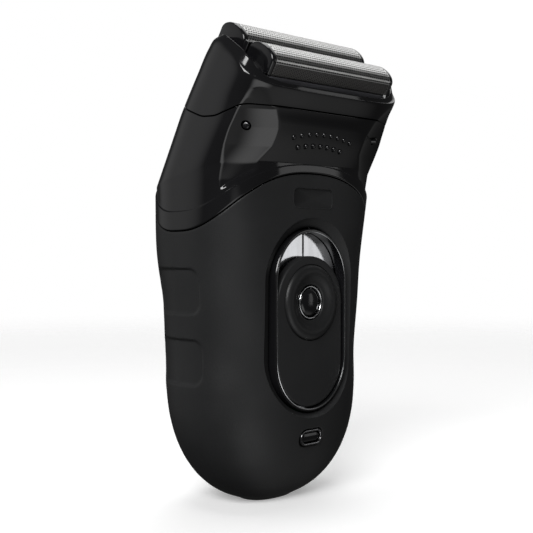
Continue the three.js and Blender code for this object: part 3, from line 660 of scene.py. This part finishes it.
def build_frame():
    low = key_where(lambda p: frame_seam_z(p[:, 1]) + GAP, lo=75.0)
    rings = [skin(low, PHI, HEAD_WALL)]
    for a in np.radians([0, 30, 60, 90]):
        rings.append(scoop(skin(low + 0.12 * (1 - math.cos(a)), PHI, 0.12 * (1 - math.sin(a)))))
    for s in np.linspace(0, 1, 60)[1:]:
        rings.append(scoop(skin(low + 0.12 + (T_TOP - low - 0.12) * s, PHI, 0.0)))
    lip = skin(np.full(AROUND, T_TOP), PHI, 0.0)
    mouth = rect_ring(lip, POCKET_X, POCKET_B, -6.6)
    up = np.array([0, -ST, CT])
    for u, raise_by in ((0.02, 0.10), (0.05, 0.17), (0.09, 0.2), (0.14, 0.17), (0.2, 0.06)):
        rings.append(lip + (mouth - lip) * u + up * raise_by)
    for u in np.linspace(0.26, 1, 14):
        sag = 0.55 * math.sin(math.pi * min(1, (u - 0.1) / 0.9))
        rings.append(lip + (mouth - lip) * u - up * sag)
    rings.append(rect_ring(lip, POCKET_X, POCKET_B, -9.3))
    rings.append(rect_ring(lip, 20.0, 9.6, -9.3))
    rings.append(rect_ring(lip, 20.0, 9.6, -11.5))
    frame_ob = ring_stack("foil_frame_skin", rings, loop=True)
    finish_piece(frame_ob, "frame", ["foil_frame"], "smoke_gloss", MATS["smoke"])


# ---------------------------------------------------------------- foils
def arch_point(v, half, rise):
    """Arch cross-section, v from -1 (front) to 1 (rear) by even arc."""
    a = np.interp(v, *ARCH_TABLE)
    return half * np.sin(a), -rise + rise * np.cos(a)


def arch_table():
    a = np.linspace(-math.pi / 2, math.pi / 2, 400)
    b, n = FOIL_HALF_W * np.sin(a), FOIL_RISE * np.cos(a)
    run = np.concatenate([[0], np.cumsum(np.hypot(np.diff(b), np.diff(n)))])
    return 2 * run / run[-1] - 1, a


ARCH_TABLE = arch_table()


def foil_point(v, depth=0.0):
    """Section of a foil: front apron for v in -2..-1, arch for -1..1, rear apron for 1..2."""
    if abs(v) <= 1:
        b, n = arch_point(v, FOIL_HALF_W - depth, FOIL_RISE - depth)
        return b, n - depth
    return math.copysign(FOIL_HALF_W - depth, v), -FOIL_RISE - (FOIL_SKIRT - FOIL_RISE) * (abs(v) - 1)


def foil_sheet(name, b0):
    """Arched sheet and its aprons, with rows of staggered slots sunk into them."""
    cols, arch_rows, apron_rows = 52, 15, 8
    pitch = 2 * FOIL_HALF_L / cols
    lines = [-2 + k / apron_rows for k in range(apron_rows)]
    lines += [-1 + 2 * k / arch_rows for k in range(arch_rows)]
    lines += [1 + k / apron_rows for k in range(apron_rows + 1)]
    verts, faces, mats, lookup = [], [], [], {}

    def at(x, v, depth=0.0):
        key = (round(x, 4), round(v, 5), depth)
        if key not in lookup:
            b, n = foil_point(v, depth)
            lookup[key] = len(verts)
            verts.append(head(x, b0 + b, n))
        return lookup[key]

    for r, (v0, v1) in enumerate(zip(lines, lines[1:])):
        vm = (v0 + v1) / 2
        on_apron = abs(vm) > 1
        # apron rows take the darker foil copy (painted shade), arch rows the lit foil
        metal = 1 if on_apron else 0
        offset = 0.5 * (r % 2)
        edges = {-FOIL_HALF_L, FOIL_HALF_L}
        edges |= {-FOIL_HALF_L + (i + offset) * pitch for i in range(1 if offset == 0 else 0, cols)}
        edges = sorted(edges)
        for x0, x1 in zip(edges, edges[1:]):
            xm = (x0 + x1) / 2
            rim = [(x0, v0), (xm, v0), (x1, v0), (x1, vm), (x1, v1), (xm, v1), (x0, v1), (x0, vm)]
            if x1 - x0 < 0.9 * pitch:
                faces.append([at(*q) for q in rim if abs(q[0] - xm) > 1e-6])
                mats.append(metal)
                continue
            hx, hv = 0.4 * pitch, (0.36 if on_apron else 0.25) * (v1 - v0)
            hole = [(xm - hx * 0.8, vm - hv), (xm, vm - hv), (xm + hx * 0.8, vm - hv), (xm + hx, vm),
                    (xm + hx * 0.8, vm + hv), (xm, vm + hv), (xm - hx * 0.8, vm + hv), (xm - hx, vm)]
            outer = [at(*q) for q in rim]
            brink = [at(*q) for q in hole]
            # each slot ends in a dark floor: painted shadow where the real slot opens into the head
            floor = [at(*q, 0.12) for q in hole]
            for k in range(8):
                m = (k + 1) % 8
                faces.append([outer[k], outer[m], brink[m], brink[k]])
                mats.append(metal)
                faces.append([brink[k], brink[m], floor[m], floor[k]])
                mats.append(2)
            faces.append(floor)
            mats.append(2)
    # inner skin and closing edges, all in painted shadow
    base = len(verts)
    inner = [(0.35 - FOIL_HALF_W, -FOIL_SKIRT)]
    for k in range(25):
        b, n = arch_point(-1 + 2 * k / 24, FOIL_HALF_W - 0.35, FOIL_RISE - 0.35)
        inner.append((b, n - 0.35))
    inner.append((FOIL_HALF_W - 0.35, -FOIL_SKIRT))
    for b, n in inner:
        for x in (-FOIL_HALF_L, FOIL_HALF_L):
            verts.append(head(x, b0 + b, n))
    for k in range(len(inner) - 1):
        q = base + 2 * k
        faces.append([q, q + 1, q + 3, q + 2])
        mats.append(2)
    return new_object(name, np.array(verts), faces, 40.0, mats)


def cap_outline(shrink):
    half, rise, foot, end = FOIL_HALF_W - shrink, FOIL_RISE - shrink, 3.4 - shrink, -7.9 + shrink
    pts = [(foot, end), (foot, -FOIL_SKIRT + shrink), (half, -FOIL_SKIRT + shrink), (half, -FOIL_RISE - 1.2)]
    for k in range(41):
        a = math.radians(90 - 180 * k / 40)
        pts.append((half * math.sin(a), -FOIL_RISE + rise * math.cos(a)))
    pts += [(-half, -FOIL_RISE - 1.2), (-half, -FOIL_SKIRT + shrink)]
    return pts + [(-foot, -FOIL_SKIRT + shrink), (-foot, end)]


def build_foils():
    for tag, b0 in (("front", -FOIL_PITCH / 2), ("rear", FOIL_PITCH / 2)):
        body = f"foil_unit_{tag}"
        sheet = foil_sheet(f"foil_sheet_{tag}", b0)
        looks = (MATS["foil"], MATS["apron"], MATS["slot_shadow"])
        finish_piece(sheet, body, [f"foil_{tag}"], "foil_steel", *looks)
        for side, hand in ((-1, "left"), (1, "right")):
            x0 = side * (FOIL_HALF_L + 0.02)
            x1 = side * (FOIL_HALF_L + GAP + CAP_T)
            rings = []
            for f, shrink in ((0, 0.04), (0.1, 0.0), (0.62, 0.0), (0.8, 0.07), (0.93, 0.22), (1.0, 0.45)):
                pts = np.array(cap_outline(shrink))
                rings.append(head(x0 + (x1 - x0) * f, b0 + pts[:, 0], pts[:, 1]))
            cap = ring_stack(f"cap_{tag}_{hand}", rings, smooth=40)
            finish_piece(cap, body, [f"foil_cap_{tag}_{hand}"], "gloss_black", MATS["gloss"])


def build_guard():
    """Toothed strip between the foils and the wedge-ended bar that carries it."""
    verts, faces = [], []

    def bar(x0, x1, b0, b1, n0, n1):
        k = len(verts)
        for x in (x0, x1):
            for b, n in ((b0, n0), (b1, n0), (b1, n1), (b0, n1)):
                verts.append(head(x, b, n))
        corners = ((0, 1, 2, 3), (4, 7, 6, 5), (0, 4, 5, 1), (1, 5, 6, 2), (2, 6, 7, 3), (3, 7, 4, 0))
        faces.extend(tuple(k + c for c in quad) for quad in corners)

    bar(-19.2, 19.2, -0.7, -0.45, -2.6, -2.1)
    bar(-19.2, 19.2, 0.45, 0.7, -2.6, -2.1)
    bar(-19.2, -17.2, -0.45, 0.45, -2.6, -2.1)
    bar(17.2, 19.2, -0.45, 0.45, -2.6, -2.1)
    teeth = 44
    for i in range(teeth):
        x = -16.9 + 33.8 * i / (teeth - 1)
        bar(x - 0.2, x + 0.2, -0.45, 0.45, -2.6, -2.15)
    strip = new_object("guard_strip", np.array(verts), faces)
    finish_piece(strip, "frame", ["centre_guard"], "foil_steel", MATS["foil"])
    side = [(-22.1, -1.6), (-19.5, -1.6), (-19.5, -2.9), (19.5, -2.9), (19.5, -1.6), (22.1, -1.6),
            (22.1, -8.6), (-22.1, -8.6)]
    outline = np.array(side)
    rings = [head(outline[:, 0], np.full(8, b), outline[:, 1]) for b in (-0.7, 0.7)]
    verts = np.concatenate(rings)
    faces = [tuple(range(8)), tuple(range(15, 7, -1))]
    faces += [(i, (i + 1) % 8, 8 + (i + 1) % 8, 8 + i) for i in range(8)]
    bar_ob = new_object("guard_carrier", verts, faces)
    bevel = bar_ob.modifiers.new("soften", "BEVEL")
    bevel.width = 0.2 * MM
    bevel.segments = 3
    finish_piece(bar_ob, "frame", ["guard_bar"], "gloss_black", MATS["gloss"])


# ---------------------------------------------------------------- switch and lamp
def pill_ring_stack(name, profile, zc, loop=False, base=(12.9, 22.5)):
    """Stadium-outlined piece: profile of (inset from the base outline, y)."""
    rings = []
    for inset, y in profile:
        pts = pill(base[0] - inset, base[1] - inset)
        rings.append(on_y(pts, y, 0, zc))
    return ring_stack(name, rings, loop)


def build_switch():
    ring = [(0, -13.6), (0, -16.1), (0.06, -16.28), (0.2, -16.42), (0.4, -16.46), (0.6, -16.42), (0.74, -16.28),
            (0.8, -16.1), (0.8, -13.6)]
    bezel = pill_ring_stack("bezel_ring", ring, SLOT_Z, loop=True)
    finish_piece(bezel, "handle", ["switch_bezel"], "bright_trim", MATS["gloss"])
    # Thin bright ring on the bezel's inner top edge: a painted highlight on the gloss-black bezel
    glint = [(0.6, -16.3), (0.62, -16.46), (0.7, -16.5), (0.78, -16.46), (0.82, -16.3)]
    glint_ob = pill_ring_stack("bezel_glint", glint, SLOT_Z, loop=True)
    finish_piece(glint_ob, "handle", [], "bright_trim", MATS["chrome"])
    plate = [(0.35, -13.9), (0.05, -14.0), (0, -14.3), (0, -15.5), (0.05, -15.75), (0.2, -15.95),
             (0.45, -16.05), (0.9, -16.1)]
    slider = pill_ring_stack("slider_plate", plate, SLIDER_Z, base=(SLIDER_HALF_W, SLIDER_HALF_H))
    cut(slider, rod(9.45, (0, -17.5, THUMB_Z), (0, 1, 0), 2.7, 128))
    cut(slider, rod(4.35, (0, -17, THUMB_Z), (0, 1, 0), 5, 96))
    finish_piece(slider, "slider", ["power_slider"], "soft_touch", MATS["soft_touch"])
    donut = [(4.4, 0), (4.4, 0.7), (4.5, 0.9), (4.9, 1.02), (5.4, 1.15), (5.9, 1.38), (6.4, 1.66), (6.9, 1.88),
             (7.4, 1.98), (7.9, 1.95), (8.4, 1.82), (8.85, 1.6), (9.1, 1.35), (9.25, 1.1), (9.3, 0.8), (9.3, 0)]
    ring_ob = lathe("thumb_dish", donut, (0, -15.1, THUMB_Z), (0, -1, 0), 128, 50)
    finish_piece(ring_ob, "slider", ["thumb_ring"], "soft_rubber", MATS["rubber"])
    dome = [(0, -0.6), (2.4, -0.6), (2.4, -1.2), (3.3, -1.2), (3.35, -1.15), (3.35, -0.1), (3.3, 0.12),
            (3.15, 0.3), (2.8, 0.5), (2.2, 0.68), (1.2, 0.82), (0, 0.86)]
    button = lathe("lock_dome", dome, (0, BUTTON_Y, THUMB_Z), (0, -1, 0), 96, 50)
    finish_piece(button, "lock", ["lock_button"], "gloss_black", MATS["gloss"])
    rim = [(3.6, -0.9), (4.05, -0.9), (4.05, 0.42), (4.0, 0.56), (3.9, 0.6), (3.8, 0.56), (3.72, 0.42),
           (3.6, 0.0)]
    rim_ob = lathe("lock_rim", rim, (0, BUTTON_Y, THUMB_Z), (0, -1, 0), 96, 50)
    finish_piece(rim_ob, "slider", ["lock_button_rim"], "bright_trim", MATS["chrome"])


def build_reflection_gap_and_badge_edge():
    """Dark line above the slider, a painted dark gap between two lights reflected in the track, and the raised
    edge of the blank badge.
    """
    line = ring_stack("track_reflection_gap", [on_y(rounded(0.28, 2.7, 0.1, 4), y, 0, 65.6) for y in (-13.36, -13.28)])
    finish_piece(line, "handle", [], "gloss_black", MATS["gloss"])
    rings = []
    for grow, lift in ((0.0, -0.2), (0.04, 0.04), (0.2, 0.1), (0.36, 0.04), (0.4, -0.2)):
        pts = rounded(BADGE_HALF_W + grow, BADGE_HALF_H + grow, BADGE_CORNER + grow)
        rings.append(on_y(pts, front_y(pts[:, 0], pts[:, 1] + BADGE_Z) - lift, 0, BADGE_Z))
    rim = ring_stack("badge_edge", rings, loop=True)
    finish_piece(rim, "handle", [], "soft_touch", MATS["soft_touch"])


def build_lamp():
    rings = []
    rim = ((0, -13.2), (0, LED_Y + 0.05), (0.1, LED_Y - 0.12), (0.28, LED_Y - 0.16), (0.46, LED_Y - 0.12),
           (0.55, LED_Y + 0.05), (0.55, -13.2))
    for inset, y in rim:
        rings.append(on_y(pill(3.9 - inset, 1.9 - inset, 16), y, 0, LED_Z))
    bezel = ring_stack("lamp_rim", rings, loop=True)
    finish_piece(bezel, "handle", ["led_bezel"], "bright_trim", MATS["trim"])
    rings = []
    pane = ((0, -13.2), (0, LED_Y + 0.5), (0.12, LED_Y + 0.36), (0.5, LED_Y + 0.28), (0.9, LED_Y + 0.26))
    for inset, y in pane:
        rings.append(on_y(pill(3.05 - inset, max(1.05 - inset, 0.12), 16), y, 0, LED_Z))
    window = ring_stack("lamp_window", rings)
    finish_piece(window, "handle", ["led_window"], "gloss_black", MATS["gloss"])


# ---------------------------------------------------------------- CAD nodes that stay as they are
KEPT = {
    "satin": ["slider_track", "motor"],
    "steel": ["lock_spring", "release_spring_left", "release_spring_right", "cutter_front", "cutter_rear",
              "cutter_spring_front", "cutter_spring_rear", "motor_crank", "motor_screw_left",
              "motor_screw_right"],
    "brass": ["switch_wiper", "battery_contact_lower", "battery_contact_upper", "inlet_pin_left",
              "inlet_pin_right"],
    "lamp": ["status_led"],
    "frame_plastic": ["foil_tray_front", "foil_tray_rear", "cutter_carrier_front", "cutter_carrier_rear",
                      "drive_bridge", "motor_plate", "chassis"],
    "rubber": ["drive_seal"],
    "board": ["circuit_board"],
    "wrap": ["battery"],
    "gloss": ["charge_inlet"],
}


def dress_kept_nodes():
    for key, names in KEPT.items():
        for name in names:
            ob = NODES[name]
            ob.data.materials.clear()
            ob.data.materials.append(MATS[key])


# ---------------------------------------------------------------- studio
def area_light(name, place, target, size, power):
    data = bpy.data.lights.new(name, "AREA")
    data.shape = "RECTANGLE"
    data.size, data.size_y = size
    data.energy = power
    ob = bpy.data.objects.new(name, data)
    ob.location = place
    ob.rotation_euler = (Vector(target) - Vector(place)).to_track_quat("-Z", "Y").to_euler()
    bpy.context.scene.collection.objects.link(ob)


def pale_floor():
    """Disc that fades out into the white surroundings."""
    mat, tree, bsdf = shader("pale_floor")
    coord = tree.nodes.new("ShaderNodeTexCoord")
    radius = tree.nodes.new("ShaderNodeVectorMath")
    radius.operation = "LENGTH"
    tree.links.new(coord.outputs["Object"], radius.inputs[0])
    fade = tree.nodes.new("ShaderNodeMapRange")
    fade.interpolation_type = "SMOOTHSTEP"
    fade.inputs["From Min"].default_value = 0.16
    fade.inputs["From Max"].default_value = 0.75
    fade.inputs["To Min"].default_value = 1.0
    fade.inputs["To Max"].default_value = 0.0
    tree.links.new(radius.outputs["Value"], fade.inputs["Value"])
    tree.links.new(fade.outputs["Result"], bsdf.inputs["Alpha"])
    fine = noise(tree, 500.0)
    grey = tint(tree, fine.outputs["Fac"], (0.84, 0.84, 0.84), (0.88, 0.88, 0.88))
    tree.links.new(grey, bsdf.inputs["Base Color"])
    bsdf.inputs["Roughness"].default_value = 0.8
    bsdf.inputs["Emission Color"].default_value = (1, 1, 1, 1)
    bsdf.inputs["Emission Strength"].default_value = 0.3
    segs = 96
    me = bpy.data.meshes.new("floor")
    ring = [(0.8 * math.cos(TAU * i / segs), 0.8 * math.sin(TAU * i / segs), 0.0) for i in range(segs)]
    me.from_pydata(ring, [], [tuple(range(segs))])
    floor = bpy.data.objects.new("floor", me)
    floor.data.materials.append(mat)
    bpy.context.scene.collection.objects.link(floor)
    floor.visible_diffuse = False
    floor.visible_glossy = False


def around(azimuth, elevation, distance):
    """Point seen from the handle at an azimuth measured from the camera's side, to its right."""
    a, e = math.radians(azimuth - 135), math.radians(elevation)
    flat = distance * math.cos(e)
    return (flat * math.cos(a), flat * math.sin(a), 0.06 + distance * math.sin(e))


# azimuth, elevation, inner and outer radius in degrees, strength
GLOWS = ((30, -34, 8, 30, 1.5), (88, -52, 4, 36, 0.35), (-98, 10, 4, 44, 0.42), (158, 44, 6, 36, 1.5))


def glow(tree, azimuth, elevation, inner, outer, strength):
    """Soft patch of light in the surroundings, full within inner degrees of its centre and gone at outer."""
    ray = tree.nodes.new("ShaderNodeTexCoord")
    dot = tree.nodes.new("ShaderNodeVectorMath")
    dot.operation = "DOT_PRODUCT"
    dot.inputs[1].default_value = Vector(around(azimuth, elevation, 1.0)) - Vector((0, 0, 0.06))
    tree.links.new(ray.outputs["Generated"], dot.inputs[0])
    far, near = math.cos(math.radians(outer)), math.cos(math.radians(inner))
    edge = ramp(tree, dot.outputs["Value"], far, near, 0, strength)
    edge.node.interpolation_type = "SMOOTHSTEP"
    return edge


def add_up(tree, values):
    total = values[0]
    for value in values[1:]:
        node = tree.nodes.new("ShaderNodeMath")
        tree.links.new(total, node.inputs[0])
        tree.links.new(value, node.inputs[1])
        total = node.outputs["Value"]
    return total


def build_studio():
    scene = bpy.context.scene
    world = bpy.data.worlds.new("studio")
    scene.world = world
    world.use_nodes = True
    tree = world.node_tree
    back = tree.nodes["Background"]
    back.inputs["Color"].default_value = (1, 1, 1, 1)
    path = tree.nodes.new("ShaderNodeLightPath")
    base = ramp(tree, path.outputs["Is Camera Ray"], 0, 1, 0.05, 1.0)
    patches = [glow(tree, *patch) for patch in GLOWS]
    tree.links.new(add_up(tree, [base, *patches]), back.inputs["Strength"])
    pale_floor()
    middle = (0, 0, 0.06)
    area_light("key", around(-14, 30, 0.9), middle, (0.5, 0.4), 8)
    area_light("front_card", around(90, 3, 0.8), middle, (0.16, 0.3), 0.13)
    area_light("top", (0.0, 0.1, 0.8), middle, (0.5, 0.3), 2.0)
    camera = bpy.data.objects.new("camera", bpy.data.cameras.new("camera"))
    camera.data.sensor_width = 36
    camera.data.lens = 67.54
    camera.data.clip_start = 0.01
    camera.location = (-0.18182, -0.18103, 0.06305)
    pitch = math.radians(-0.945)
    look = Vector((math.cos(pitch) * math.sqrt(0.5), math.cos(pitch) * math.sqrt(0.5), math.sin(pitch)))
    camera.rotation_euler = look.to_track_quat("-Z", "Y").to_euler()
    scene.collection.objects.link(camera)
    scene.camera = camera
    scene.view_settings.view_transform = "Standard"


build_handle()
build_housing()
build_frame()
build_foils()
build_guard()
build_switch()
build_lamp()
build_reflection_gap_and_badge_edge()
dress_kept_nodes()
build_studio()
